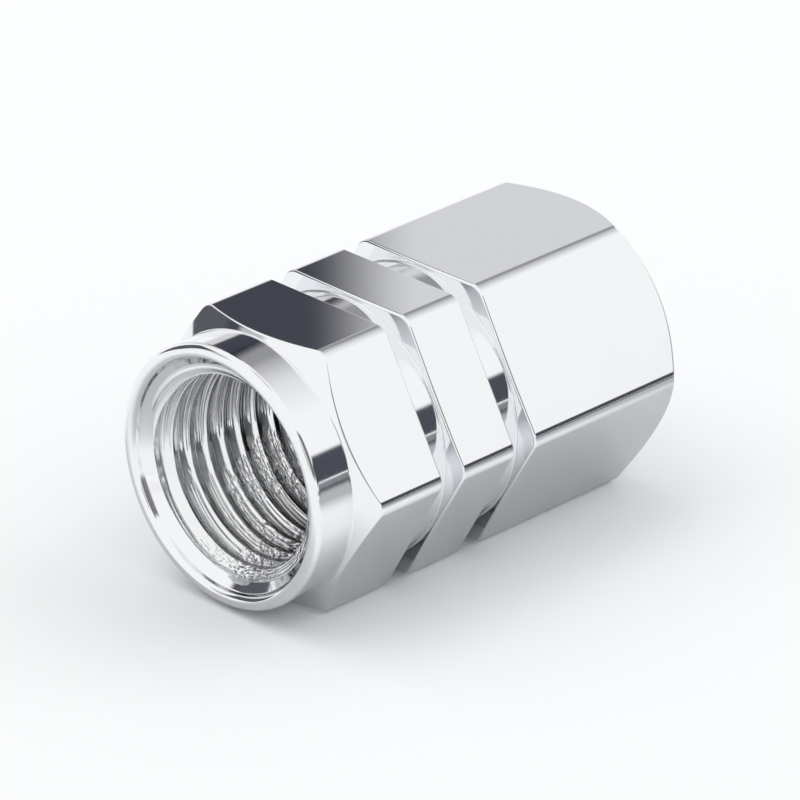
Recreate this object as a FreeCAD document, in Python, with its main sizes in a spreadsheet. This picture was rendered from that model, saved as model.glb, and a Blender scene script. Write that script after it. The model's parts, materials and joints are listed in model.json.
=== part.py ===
import FreeCAD, Part
import os
import Sketcher

# Hexagonal tyre valve cap, lying on one flat of its hexagon.
# It is one turned metal piece with an internal thread, and a rubber washer at the bottom of the bore.
# Each piece is modelled with its axis along Z and the mouth at Z = 0, then laid down:
# the mouth faces -Y, the closed end faces +Y, and the lowest flat rests at Z = 0.
# Lengths are in millimetres and angles in degrees.

# Driving sizes
driving_sizes = [
    ("thread_diameter", 7.86, "wall of the threaded bore, at the roots of the thread"),
    ("thread_height", 0.48, "root to crest of the thread, which is left to the looks"),
    ("thread_depth", 9.0, "mouth face to the last of the thread"),
    ("countersink_width", 0.33, "lead-in at the mouth, at 45 degrees"),
    ("collar_wall", 0.92, "metal round the thread at the round collar"),
    ("collar_length", 1.7, "mouth face to the foot of the hexagon's chamfer"),
    ("rim_flat", 0.05, "mouth face, between the rounds of its outer and inner edge"),
    ("rim_wall", 0.03, "straight wall between the rim's inner round and the countersink"),
    ("hexagon_step", 0.15, "flats of the hexagon, above the collar"),
    ("corner_round", 0.35, "along the six corners of the hexagon"),
    ("mouth_chamfer_angle", 33.0, "chamfer at the collar, from the mouth face"),
    ("first_section", 2.86, "corner length from the mouth chamfer to the first groove"),
    ("middle_section", 2.48, "corner length between the two grooves"),
    ("end_section", 6.95, "corner length from the second groove to the end chamfer"),
    ("groove_width", 1.04, "each ring groove, measured at the corners"),
    ("groove_depth", 0.17, "groove floor, below the flats"),
    ("groove_wall_angle", 3.0, "groove wall towards the closed end, from square"),
    ("end_chamfer_angle", 32.0, "chamfer at the closed end, from the end face"),
    ("crown_margin", 0.5, "edge of the closed end's crown, inside the flats"),
    ("crown_height", 0.1, "rise of the closed end's face"),
    ("crown_round", 0.8, "blend between the end chamfer and the crown"),
    ("washer_thickness", 1.5, "sealing washer"),
    ("washer_hole_diameter", 3.0, "sealing washer"),
    ("washer_clearance", 0.05, "washer to the wall of its seat, on the radius"),
    ("washer_recess", 0.1, "washer's face, below the last of the thread"),
    ("cut_margin", 1.0, "reach of each cutting outline past the metal that it removes"),
    ("facing_stock", 0.5, "extra bar at the closed end, faced away by the crown"),
]

# Sizes that follow from the driving ones
derived_sizes = [
    ("thread_radius", "=thread_diameter / 2"),
    ("core_radius", "=thread_radius - thread_height"),
    ("collar_radius", "=thread_radius + collar_wall"),
    ("rim_bore_radius", "=thread_radius + countersink_width"),
    ("rim_round", "=(collar_wall - countersink_width - rim_flat) / 2"),
    ("countersink_start", "=rim_round + rim_wall"),
    ("countersink_end", "=countersink_start + countersink_width"),
    ("flat_radius", "=collar_radius + hexagon_step"),
    ("corner_radius", "=flat_radius / cos(30)"),
    ("cut_radius", "=corner_radius + cut_margin"),
    ("mouth_slope", "=tan(mouth_chamfer_angle)"),
    ("hexagon_start", "=collar_length + (corner_radius - collar_radius) * mouth_slope"),
    ("mouth_cut_station", "=collar_length + (cut_radius - collar_radius) * mouth_slope"),
    ("groove_start", "=hexagon_start + first_section"),
    ("groove_spacing", "=groove_width + middle_section"),
    ("groove_radius", "=flat_radius - groove_depth"),
    ("groove_slope", "=tan(groove_wall_angle)"),
    ("groove_end", "=groove_start + groove_width"),
    ("groove_end_at_floor", "=groove_end - (corner_radius - groove_radius) * groove_slope"),
    ("groove_end_at_cut", "=groove_end + cut_margin * groove_slope"),
    ("hexagon_end", "=groove_end + groove_spacing + end_section"),
    ("crown_radius", "=flat_radius - crown_margin"),
    ("end_slope", "=tan(end_chamfer_angle)"),
    ("crown_start", "=hexagon_end + (corner_radius - crown_radius) * end_slope"),
    ("end_cut_station", "=hexagon_end - cut_margin * end_slope"),
    ("total_length", "=crown_start + crown_height"),
    ("end_cut_length", "=total_length + cut_margin"),
    ("bar_length", "=total_length + facing_stock"),
    ("washer_start", "=thread_depth + washer_recess"),
    ("seat_depth", "=washer_start + washer_thickness"),
    ("washer_radius", "=core_radius - washer_clearance"),
    ("washer_hole_radius", "=washer_hole_diameter / 2"),
]

part_folder = "parts"
hexagon_sides = 6
groove_count = 2
full_turn = 360.0
same_place = 1e-4
laid_down = FreeCAD.Rotation(FreeCAD.Vector(1, 0, 0), -90)

doc = FreeCAD.newDocument("valve_cap")


# Spreadsheet with a row for each size
def make_sheet():
    sheet = doc.addObject("Spreadsheet::Sheet", "sizes")
    row = 1
    for alias, value, note in driving_sizes:
        sheet.set(f"A{row}", alias)
        sheet.set(f"B{row}", str(value))
        sheet.set(f"C{row}", note)
        sheet.setAlias(f"B{row}", alias)
        row += 1
    for alias, formula in derived_sizes:
        sheet.set(f"A{row}", alias)
        sheet.setAlias(f"B{row}", alias)
        sheet.set(f"B{row}", formula)
        row += 1
    doc.recompute()
    return sheet


sizes = make_sheet()


def size(alias):
    return float(sizes.get(alias))


# Body with one of its own origin planes or axes
def make_body(label):
    body = doc.addObject("PartDesign::Body", label)
    body.Label = label
    return body


def origin_feature(body, role):
    for feature in body.Origin.OriginFeatures:
        if feature.Role == role:
            return feature
    raise ValueError(f"no origin feature {role}")


def make_sketch(body, name, plane_role):
    sketch = body.newObject("Sketcher::SketchObject", name)
    sketch.AttachmentSupport = [(origin_feature(body, plane_role), "")]
    sketch.MapMode = "FlatFace"
    return sketch


# A named dimension of a sketch, bound to a row of the sheet
def add_dimension(sketch, constraint, name, alias):
    index = sketch.addConstraint(constraint)
    sketch.renameConstraint(index, name)
    sketch.setExpression(f"Constraints.{name}", f"sizes.{alias}")


# Closed outline of straight edges in the half plane beside the axis.
# A corner is (name, radius, station), each the name of a size.
# A radius of None lies on the axis, and a station with a minus sign lies below the mouth.
def add_outline(sketch, corners):
    places = []
    for name, radius, station in corners:
        sign = -1 if station.startswith("-") else 1
        x = 0.0 if radius is None else size(radius)
        places.append(FreeCAD.Vector(x, sign * size(station.lstrip("-")), 0))
    count = len(corners)
    for i in range(count):
        sketch.addGeometry(Part.LineSegment(places[i], places[(i + 1) % count]), False)
    for i in range(count):
        sketch.addConstraint(Sketcher.Constraint("Coincident", i, 2, (i + 1) % count, 1))
    for i, (name, radius, station) in enumerate(corners):
        if radius is None:
            sketch.addConstraint(Sketcher.Constraint("PointOnObject", i, 1, -2))
        else:
            across = Sketcher.Constraint("DistanceX", -1, 1, i, 1, places[i].x)
            add_dimension(sketch, across, f"{name}_radius", radius)
        if station.startswith("-"):
            below = Sketcher.Constraint("DistanceY", i, 1, -1, 1, -places[i].y)
            add_dimension(sketch, below, f"{name}_station", station.lstrip("-"))
        else:
            along = Sketcher.Constraint("DistanceY", -1, 1, i, 1, places[i].y)
            add_dimension(sketch, along, f"{name}_station", station)


# A cut made by turning a sketch round the axis
def add_turned_cut(body, name, sketch):
    before = body.Tip.Shape.Volume
    cut = body.newObject("PartDesign::Groove", name)
    cut.Profile = sketch
    cut.ReferenceAxis = (sketch, ["V_Axis"])
    cut.Angle = full_turn
    doc.recompute()
    if cut.Shape.Volume >= before:
        raise ValueError(f"{name} removes nothing")
    return cut


def add_fillet(body, name, base, edge_names, alias):
    fillet = body.newObject("PartDesign::Fillet", name)
    fillet.Base = (base, edge_names)
    fillet.setExpression("Radius", f"sizes.{alias}")
    doc.recompute()
    return fillet


# Names of the straight edges that run along the axis
def edges_along_axis(shape):
    found = []
    for i, edge in enumerate(shape.Edges, start=1):
        if isinstance(edge.Curve, Part.Line) and abs(edge.Curve.Direction.z) > 1 - same_place:
            found.append(f"Edge{i}")
    return found


# Name of the whole circle with this radius at this station
def ring_edge(shape, radius, station):
    for i, edge in enumerate(shape.Edges, start=1):
        if edge.Degenerated or not isinstance(edge.Curve, Part.Circle):
            continue
        radius_gap = abs(edge.Curve.Radius - radius)
        station_gap = abs(edge.Curve.Center.z - station)
        if max(radius_gap, station_gap) < same_place:
            return f"Edge{i}"
    raise ValueError(f"no ring edge of radius {radius} at {station}")


# Hexagonal bar, with two of its flats square to Y and corners on the X axis
def add_hexagon_bar(body):
    sketch = make_sketch(body, "hexagon", "XY_Plane")
    corners = []
    for i in range(hexagon_sides):
        turn = FreeCAD.Rotation(FreeCAD.Vector(0, 0, 1), full_turn * i / hexagon_sides)
        corners.append(turn.multVec(FreeCAD.Vector(size("corner_radius"), 0, 0)))
    for i in range(hexagon_sides):
        side = Part.LineSegment(corners[i], corners[(i + 1) % hexagon_sides])
        sketch.addGeometry(side, False)
    ring = Part.Circle(FreeCAD.Vector(0, 0, 0), FreeCAD.Vector(0, 0, 1), size("corner_radius"))
    ring_index = sketch.addGeometry(ring, True)
    sketch.addConstraint(Sketcher.Constraint("Coincident", ring_index, 3, -1, 1))
    for i in range(hexagon_sides):
        sketch.addConstraint(Sketcher.Constraint("Coincident", i, 2, (i + 1) % hexagon_sides, 1))
        sketch.addConstraint(Sketcher.Constraint("PointOnObject", i, 1, ring_index))
    for i in range(1, hexagon_sides):
        sketch.addConstraint(Sketcher.Constraint("Equal", 0, i))
    sketch.addConstraint(Sketcher.Constraint("PointOnObject", 0, 1, -1))
    across = Sketcher.Constraint("Radius", ring_index, size("corner_radius"))
    add_dimension(sketch, across, "corner_radius", "corner_radius")
    bar = body.newObject("PartDesign::Pad", "hexagon_bar")
    bar.Profile = sketch
    bar.setExpression("Length", "sizes.bar_length")
    doc.recompute()
    return add_fillet(body, "rounded_corners", bar, edges_along_axis(bar.Shape), "corner_round")


# Round collar at the mouth, with the chamfer that runs up from it to the corners
def add_collar(body):
    sketch = make_sketch(body, "collar_outline", "XZ_Plane")
    add_outline(sketch, [
        ("collar_edge", "collar_radius", "-cut_margin"),
        ("outside", "cut_radius", "-cut_margin"),
        ("chamfer_top", "cut_radius", "mouth_cut_station"),
        ("chamfer_foot", "collar_radius", "collar_length"),
    ])
    return add_turned_cut(body, "collar", sketch)


# Two equal ring grooves: square wall towards the mouth, sloped wall towards the closed end
def add_ring_grooves(body):
    sketch = make_sketch(body, "groove_outline", "XZ_Plane")
    add_outline(sketch, [
        ("floor_start", "groove_radius", "groove_start"),
        ("mouth_wall", "cut_radius", "groove_start"),
        ("end_wall", "cut_radius", "groove_end_at_cut"),
        ("floor_end", "groove_radius", "groove_end_at_floor"),
    ])
    first = add_turned_cut(body, "first_groove", sketch)
    both = body.newObject("PartDesign::LinearPattern", "both_grooves")
    both.Originals = [first]
    both.Direction = (origin_feature(body, "Z_Axis"), [""])
    both.Occurrences = groove_count
    both.setExpression("Length", "sizes.groove_spacing")
    body.Tip = both
    doc.recompute()
    return both


# Closed end: a chamfer across the corners and a shallow crowned face inside it
def add_closed_end(body):
    sketch = make_sketch(body, "end_outline", "XZ_Plane")
    crown_edge = FreeCAD.Vector(size("crown_radius"), size("crown_start"), 0)
    chamfer_end = FreeCAD.Vector(size("cut_radius"), size("end_cut_station"), 0)
    outer_top = FreeCAD.Vector(size("cut_radius"), size("end_cut_length"), 0)
    axis_top = FreeCAD.Vector(0, size("end_cut_length"), 0)
    apex = FreeCAD.Vector(0, size("total_length"), 0)
    turns = [crown_edge, chamfer_end, outer_top, axis_top, apex]
    for start, end in zip(turns, turns[1:]):
        sketch.addGeometry(Part.LineSegment(start, end), False)
    rise = size("crown_height")
    reach = size("crown_radius")
    ball_radius = (reach * reach + rise * rise) / (2 * rise)
    ball = Part.Circle(FreeCAD.Vector(0, apex.y - ball_radius, 0), FreeCAD.Vector(0, 0, 1), ball_radius)
    crown = Part.ArcOfCircle(ball, ball.parameter(crown_edge), ball.parameter(apex))
    crown_index = sketch.addGeometry(crown, False)
    for i in range(3):
        sketch.addConstraint(Sketcher.Constraint("Coincident", i, 2, i + 1, 1))
    sketch.addConstraint(Sketcher.Constraint("Coincident", 3, 2, crown_index, 2))
    sketch.addConstraint(Sketcher.Constraint("Coincident", crown_index, 1, 0, 1))
    sketch.addConstraint(Sketcher.Constraint("PointOnObject", crown_index, 3, -2))
    sketch.addConstraint(Sketcher.Constraint("PointOnObject", 3, 1, -2))
    sketch.addConstraint(Sketcher.Constraint("PointOnObject", 3, 2, -2))
    sketch.addConstraint(Sketcher.Constraint("Vertical", 1))
    sketch.addConstraint(Sketcher.Constraint("Horizontal", 2))
    for name, index, axis, value, alias in [
        ("crown_edge_radius", 0, "DistanceX", crown_edge.x, "crown_radius"),
        ("crown_edge_station", 0, "DistanceY", crown_edge.y, "crown_start"),
        ("chamfer_end_radius", 1, "DistanceX", chamfer_end.x, "cut_radius"),
        ("chamfer_end_station", 1, "DistanceY", chamfer_end.y, "end_cut_station"),
        ("cut_top_station", 2, "DistanceY", outer_top.y, "end_cut_length"),
    ]:
        add_dimension(sketch, Sketcher.Constraint(axis, -1, 1, index, 1, value), name, alias)
    highest = Sketcher.Constraint("DistanceY", -1, 1, 3, 2, apex.y)
    add_dimension(sketch, highest, "apex_station", "total_length")
    return add_turned_cut(body, "closed_end", sketch)


# Bore: a short wide step inside the rim, the countersink, the threaded length, and a narrower flat-bottomed
# seat for the washer
def add_bore(body):
    sketch = make_sketch(body, "bore_outline", "XZ_Plane")
    add_outline(sketch, [
        ("axis_start", None, "-cut_margin"),
        ("rim_bore", "rim_bore_radius", "-cut_margin"),
        ("countersink", "rim_bore_radius", "countersink_start"),
        ("thread_start", "thread_radius", "countersink_end"),
        ("thread_end", "thread_radius", "thread_depth"),
        ("seat_rim", "core_radius", "thread_depth"),
        ("seat_corner", "core_radius", "seat_depth"),
        ("seat_middle", None, "seat_depth"),
    ])
    return add_turned_cut(body, "bore", sketch)


# The cap, made as it is turned from hexagonal bar
def make_cap_body():
    body = make_body("cap_body")
    add_hexagon_bar(body)
    add_collar(body)
    add_ring_grooves(body)
    end_cut = add_closed_end(body)
    end_edge = ring_edge(end_cut.Shape, size("crown_radius"), size("crown_start"))
    add_fillet(body, "crown_blend", end_cut, [end_edge], "crown_round")
    bored = add_bore(body)
    rim_edges = [ring_edge(bored.Shape, size(alias), 0.0) for alias in ("collar_radius", "rim_bore_radius")]
    add_fillet(body, "rounded_rim", bored, rim_edges, "rim_round")
    body.Placement = FreeCAD.Placement(FreeCAD.Vector(0, 0, 0), laid_down)
    body.setExpression("Placement.Base.y", "-sizes.total_length / 2")
    body.setExpression("Placement.Base.z", "sizes.flat_radius")
    return body


# Flat rubber ring on the bottom of the bore
def make_sealing_washer():
    body = make_body("sealing_washer")
    sketch = make_sketch(body, "washer_outline", "XY_Plane")
    for name, alias in [("outer_radius", "washer_radius"), ("hole_radius", "washer_hole_radius")]:
        ring = Part.Circle(FreeCAD.Vector(0, 0, 0), FreeCAD.Vector(0, 0, 1), size(alias))
        index = sketch.addGeometry(ring, False)
        sketch.addConstraint(Sketcher.Constraint("Coincident", index, 3, -1, 1))
        add_dimension(sketch, Sketcher.Constraint("Radius", index, size(alias)), name, alias)
    pad = body.newObject("PartDesign::Pad", "washer_pad")
    pad.Profile = sketch
    pad.setExpression("Length", "sizes.washer_thickness")
    body.Placement = FreeCAD.Placement(FreeCAD.Vector(0, 0, 0), laid_down)
    body.setExpression("Placement.Base.y", "sizes.washer_start - sizes.total_length / 2")
    body.setExpression("Placement.Base.z", "sizes.flat_radius")
    return body


pieces = [make_cap_body(), make_sealing_washer()]
doc.recompute()

# Every object has to be sound before anything is written
for item in doc.Objects:
    if "Invalid" in item.State or "Error" in item.State:
        raise ValueError(f"{item.Label} failed: {item.State}")
for piece in pieces:
    if piece.Shape.isNull() or not piece.Shape.isValid():
        raise ValueError(f"{piece.Label} has no valid shape")

os.makedirs(part_folder, exist_ok=True)
for piece in pieces:
    piece.Shape.exportStep(os.path.join(part_folder, f"{piece.Label}.step"))
    print(f"{piece.Label}: {piece.Shape.Volume:.3f} mm3, {len(piece.Shape.Solids)} solid")
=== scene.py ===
import json
import math

import bmesh
import bpy
import numpy as np
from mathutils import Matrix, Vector

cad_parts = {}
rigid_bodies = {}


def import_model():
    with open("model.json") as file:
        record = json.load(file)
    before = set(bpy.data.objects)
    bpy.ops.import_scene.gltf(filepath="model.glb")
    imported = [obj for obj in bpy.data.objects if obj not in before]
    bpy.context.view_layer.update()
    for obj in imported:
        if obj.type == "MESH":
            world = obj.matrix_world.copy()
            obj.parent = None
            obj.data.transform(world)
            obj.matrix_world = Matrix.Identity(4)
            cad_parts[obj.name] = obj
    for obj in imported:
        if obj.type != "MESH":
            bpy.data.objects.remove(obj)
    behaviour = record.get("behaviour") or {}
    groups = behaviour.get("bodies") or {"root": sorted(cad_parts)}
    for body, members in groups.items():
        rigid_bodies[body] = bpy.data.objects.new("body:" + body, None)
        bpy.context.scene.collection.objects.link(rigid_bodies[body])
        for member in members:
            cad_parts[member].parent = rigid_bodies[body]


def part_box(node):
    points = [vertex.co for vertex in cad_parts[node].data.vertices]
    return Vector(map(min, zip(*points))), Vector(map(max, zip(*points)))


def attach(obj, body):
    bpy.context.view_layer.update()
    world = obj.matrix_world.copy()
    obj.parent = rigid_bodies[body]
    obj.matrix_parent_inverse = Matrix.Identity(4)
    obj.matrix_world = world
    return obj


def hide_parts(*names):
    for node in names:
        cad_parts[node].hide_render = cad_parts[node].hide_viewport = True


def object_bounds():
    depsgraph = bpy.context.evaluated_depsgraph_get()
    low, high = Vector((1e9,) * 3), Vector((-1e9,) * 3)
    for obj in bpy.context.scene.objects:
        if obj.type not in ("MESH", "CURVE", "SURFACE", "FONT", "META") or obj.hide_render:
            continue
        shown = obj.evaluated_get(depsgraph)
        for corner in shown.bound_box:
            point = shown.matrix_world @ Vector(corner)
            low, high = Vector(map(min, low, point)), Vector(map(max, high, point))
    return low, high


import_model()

# Tyre valve cap, lying on one flat of its hexagon: the mouth faces -Y and the closed end +Y.
# Sizes in the dictionaries are millimetres and degrees, and the scene is in metres.

mm = 0.001
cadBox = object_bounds()
capLow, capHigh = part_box("cap_body")
halfLength = (capHigh.y - capLow.y) / 2
flatRadius = (capHigh.z - capLow.z) / 2
axisHeight = (capHigh.z + capLow.z) / 2
hexagonSides = 6
halfSide = math.pi / hexagonSides


# sRGB hex colour to the linear values that the shaders take
def linearColour(hexText):
    shades = [int(hexText[i:i + 2], 16) / 255 for i in (1, 3, 5)]
    linear = [c / 12.92 if c <= 0.04045 else ((c + 0.055) / 1.055) ** 2.4 for c in shades]
    return (*linear, 1.0)


# Adds a node with its settings. A socket gets a number, or a link where the value is a node or an output.
def addNode(tree, kind, settings=None, sockets=None):
    node = tree.nodes.new(kind)
    for name, value in (settings or {}).items():
        setattr(node, name, value)
    for socket, value in (sockets or {}).items():
        if isinstance(value, bpy.types.Node):
            value = value.outputs[0]
        if isinstance(value, bpy.types.NodeSocket):
            tree.links.new(value, node.inputs[socket])
        else:
            node.inputs[socket].default_value = value
    return node


# A new tree with these inputs after its geometry, and the outputs of its group input
def startTree(name, inputs):
    tree = bpy.data.node_groups.new(name, "GeometryNodeTree")
    tree.interface.new_socket("Geometry", in_out="INPUT", socket_type="NodeSocketGeometry")
    for title, kind in inputs:
        tree.interface.new_socket(title, in_out="INPUT", socket_type=kind)
    tree.interface.new_socket("Geometry", in_out="OUTPUT", socket_type="NodeSocketGeometry")
    return tree, addNode(tree, "NodeGroupInput").outputs


# Runs a tree on a piece, then keeps only the plain mesh that it makes
def runTree(piece, tree, values):
    modifier = piece.modifiers.new(tree.name, "NODES")
    modifier.node_group = tree
    sockets = {item.name: item.identifier for item in tree.interface.items_tree if item.in_out == "INPUT"}
    for title, value in values.items():
        modifier[sockets[title]] = value
    bpy.context.view_layer.update()
    evaluated = piece.evaluated_get(bpy.context.evaluated_depsgraph_get())
    mesh = bpy.data.meshes.new_from_object(evaluated)
    piece.modifiers.clear()
    sketch = piece.data
    piece.data = mesh
    bpy.data.meshes.remove(sketch)
    mesh.name = piece.name


def addPiece(name, mesh):
    piece = bpy.data.objects.new(name, mesh)
    bpy.context.collection.objects.link(piece)
    return piece


# A new material and its empty tree
def startMaterial(name):
    material = bpy.data.materials.new(name)
    material.use_nodes = True
    material.node_tree.nodes.clear()
    return material, material.node_tree


# Bright nickel and chrome plating on brass: near-white, blue-grey in its depths, mirror-like, with the
# fine rings of the lathe on the turned faces and the straight marks of the drawn bar on the flats.
chromeLook = {
    "colour": "#F3F4F6",
    "roughness": 0.06,
    "smudgeRoughness": 0.02,
    "smudgeSize": 2.2,
    "smudgeDetail": 4.0,
    "smudgeFrom": 0.35,
    "smudgeTo": 0.75,
    "ringSpacing": 0.09,
    "ringHeight": 0.00012,
    "barMarkWidth": 0.12,
    "barMarkLength": 6.0,
    "barMarkHeight": 0.00006,
    "markDetail": 2.0,
    "polishWave": 1.6,
    "polishHeight": 0.0004,
}


def makePlatedBrass(look):
    material, tree = startMaterial("brightPlatedBrass")
    place = addNode(tree, "ShaderNodeTexCoord").outputs["Object"]
    inMillimetres = addNode(tree, "ShaderNodeVectorMath", {"operation": "SCALE"}, {0: place, "Scale": 1 / mm})
    parts = addNode(tree, "ShaderNodeSeparateXYZ", {}, {0: inMillimetres}).outputs
    upFromAxis = addNode(tree, "ShaderNodeMath", {"operation": "SUBTRACT"},
                         {0: parts["Z"], 1: axisHeight / mm})
    flatPlace = addNode(tree, "ShaderNodeCombineXYZ", {}, {0: parts["X"], 1: upFromAxis})
    radius = addNode(tree, "ShaderNodeVectorMath", {"operation": "LENGTH"}, {0: flatPlace})
    turning = addNode(tree, "ShaderNodeAttribute", {"attribute_name": "turning"})
    barShare = addNode(tree, "ShaderNodeSeparateXYZ", {}, {0: turning.outputs["Vector"]}).outputs["Z"]
    ringPlace = addNode(tree, "ShaderNodeCombineXYZ", {}, {0: parts["Y"], 1: radius.outputs["Value"]})
    rings = addNode(tree, "ShaderNodeTexNoise", {"noise_dimensions": "2D"},
                    {"Vector": ringPlace, "Scale": 1 / look["ringSpacing"], "Detail": look["markDetail"]})
    marksAcross = 1 / look["barMarkWidth"]
    barStretch = addNode(tree, "ShaderNodeVectorMath", {"operation": "MULTIPLY"},
                         {0: inMillimetres, 1: (marksAcross, 1 / look["barMarkLength"], marksAcross)})
    barMarks = addNode(tree, "ShaderNodeTexNoise", {},
                       {"Vector": barStretch, "Scale": 1.0, "Detail": look["markDetail"]})
    polish = addNode(tree, "ShaderNodeTexNoise", {},
                     {"Vector": inMillimetres, "Scale": 1 / look["polishWave"]})
    smudges = addNode(tree, "ShaderNodeTexNoise", {},
                      {"Vector": inMillimetres, "Scale": 1 / look["smudgeSize"],
                       "Detail": look["smudgeDetail"]})
    roughness = addNode(tree, "ShaderNodeMapRange", {},
                        {"Value": smudges.outputs[0],
                         "From Min": look["smudgeFrom"], "From Max": look["smudgeTo"],
                         "To Min": look["roughness"], "To Max": look["roughness"] + look["smudgeRoughness"]})
    ringShare = addNode(tree, "ShaderNodeMath", {"operation": "SUBTRACT"}, {0: 1.0, 1: barShare})
    polishBump = addNode(tree, "ShaderNodeBump", {},
                         {"Strength": 1.0, "Distance": look["polishHeight"] * mm,
                          "Height": polish.outputs[0]})
    ringBump = addNode(tree, "ShaderNodeBump", {},
                       {"Strength": ringShare, "Distance": look["ringHeight"] * mm,
                        "Height": rings.outputs[0], "Normal": polishBump})
    barBump = addNode(tree, "ShaderNodeBump", {},
                      {"Strength": barShare, "Distance": look["barMarkHeight"] * mm,
                       "Height": barMarks.outputs[0], "Normal": ringBump})
    surface = addNode(tree, "ShaderNodeBsdfPrincipled", {},
                      {"Base Color": linearColour(look["colour"]), "Metallic": 1.0, "Roughness": roughness,
                       "Normal": barBump})
    addNode(tree, "ShaderNodeOutputMaterial", {}, {"Surface": surface})
    return material


# Brass cut by a tap, then plated thinly: bright, with fine lines along the ridge from the tap's teeth, which
# fade where the tap ran smoothly, and patches of chatter low in the bore, where it pressed harder.
threadLook = {
    "colour": "#F0F1F2",
    "roughness": 0.12,
    "lineLength": 7.0,
    "lineWidth": 0.1,
    "lineHeight": 0.1,
    "chatterLength": 0.3,
    "chatterWidth": 0.11,
    "chatterHeight": 0.06,
    "detail": 1.0,
    "patchSize": 2.0,
    "patchFrom": 0.42,
    "patchTo": 0.6,
    "lowLineShare": 0.4,
    "chatterBelow": 3.6,
    "smoothFrom": 3.0,
    "smoothTo": 4.4,
    "fade": 0.8,
}


# Share of a mark: 0 below a height above the table, in millimetres, and 1 above it
def shareAbove(tree, place, height, fade):
    up = addNode(tree, "ShaderNodeSeparateXYZ", {}, {0: place}).outputs["Z"]
    return addNode(tree, "ShaderNodeMapRange", {"interpolation_type": "SMOOTHSTEP"},
                   {"Value": up, "From Min": (height - fade / 2) * mm, "From Max": (height + fade / 2) * mm})


# Place on the ridge of the thread, in units of these two lengths along it and across it
def ridgePlace(tree, alongUnit, acrossUnit):
    parts = []
    for name, unit in (("helixPlace", alongUnit), ("flankPlace", acrossUnit)):
        place = addNode(tree, "ShaderNodeAttribute", {"attribute_name": name}).outputs["Fac"]
        parts.append(addNode(tree, "ShaderNodeMath", {"operation": "DIVIDE"}, {0: place, 1: unit * mm}))
    return addNode(tree, "ShaderNodeCombineXYZ", {}, {0: parts[0], 1: parts[1]})


def makeTappedBrass(look):
    material, tree = startMaterial("tappedPlatedBrass")
    linePlace = ridgePlace(tree, look["lineLength"], look["lineWidth"])
    lines = addNode(tree, "ShaderNodeTexNoise", {"noise_dimensions": "2D"},
                    {"Vector": linePlace, "Scale": 1.0, "Detail": look["detail"]})
    chatterPlace = ridgePlace(tree, look["chatterLength"], look["chatterWidth"])
    chatter = addNode(tree, "ShaderNodeTexNoise", {"noise_dimensions": "2D"},
                      {"Vector": chatterPlace, "Scale": 1.0, "Detail": look["detail"]})
    place = addNode(tree, "ShaderNodeTexCoord").outputs["Object"]
    inPatches = addNode(tree, "ShaderNodeVectorMath", {"operation": "SCALE"},
                        {0: place, "Scale": 1 / mm / look["patchSize"]})
    patches = addNode(tree, "ShaderNodeTexNoise", {},
                      {"Vector": inPatches, "Scale": 1.0, "Detail": look["detail"]})
    patchShare = addNode(tree, "ShaderNodeMapRange", {"interpolation_type": "SMOOTHSTEP"},
                         {"Value": patches.outputs[0], "From Min": look["patchFrom"],
                          "From Max": look["patchTo"]})
    aboveChatter = shareAbove(tree, place, look["chatterBelow"], look["fade"])
    belowTop = addNode(tree, "ShaderNodeMath", {"operation": "SUBTRACT"}, {0: 1.0, 1: aboveChatter})
    chatterShare = addNode(tree, "ShaderNodeMath", {"operation": "MULTIPLY"}, {0: patchShare, 1: belowTop})
    aboveSmooth = shareAbove(tree, place, look["smoothTo"], look["fade"])
    intoSmooth = shareAbove(tree, place, look["smoothFrom"], look["fade"])
    belowSmooth = addNode(tree, "ShaderNodeMath", {"operation": "SUBTRACT"}, {0: 1.0, 1: intoSmooth})
    lineShare = addNode(tree, "ShaderNodeMath", {"operation": "MULTIPLY_ADD"},
                        {0: belowSmooth, 1: look["lowLineShare"], 2: aboveSmooth})
    lineBump = addNode(tree, "ShaderNodeBump", {},
                       {"Strength": lineShare, "Distance": look["lineHeight"] * mm,
                        "Height": lines.outputs[0]})
    bump = addNode(tree, "ShaderNodeBump", {},
                   {"Strength": chatterShare, "Distance": look["chatterHeight"] * mm,
                    "Height": chatter.outputs[0], "Normal": lineBump})
    surface = addNode(tree, "ShaderNodeBsdfPrincipled", {},
                      {"Base Color": linearColour(look["colour"]), "Metallic": 1.0,
                       "Roughness": look["roughness"], "Normal": bump})
    addNode(tree, "ShaderNodeOutputMaterial", {}, {"Surface": surface})
    return material


# Moulded nitrile rubber: black and matt, with a fine grain from the mould.
rubberLook = {
    "colour": "#1B1B1C",
    "roughness": 0.78,
    "grainSize": 0.06,
    "grainHeight": 0.004,
}


def makeNitrileRubber(look):
    material, tree = startMaterial("mouldedNitrileRubber")
    place = addNode(tree, "ShaderNodeTexCoord").outputs["Object"]
    inMillimetres = addNode(tree, "ShaderNodeVectorMath", {"operation": "SCALE"}, {0: place, "Scale": 1 / mm})
    grain = addNode(tree, "ShaderNodeTexNoise", {}, {"Vector": inMillimetres, "Scale": 1 / look["grainSize"]})
    bump = addNode(tree, "ShaderNodeBump", {},
                   {"Strength": 1.0, "Distance": look["grainHeight"] * mm, "Height": grain.outputs[0]})
    surface = addNode(tree, "ShaderNodeBsdfPrincipled", {},
                      {"Base Color": linearColour(look["colour"]), "Roughness": look["roughness"],
                       "Normal": bump})
    addNode(tree, "ShaderNodeOutputMaterial", {}, {"Surface": surface})
    return material


# The hexagonal bar: the round on its corners, how finely a flat and a corner are divided, and how finely an
# edge of a profile is. The seam and the poles close within seamGap.
barLook = {"cornerRound": 0.6, "columns": 16, "cornerPoints": 8, "arcSteps": 6}
seamGap = 0.0005


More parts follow.
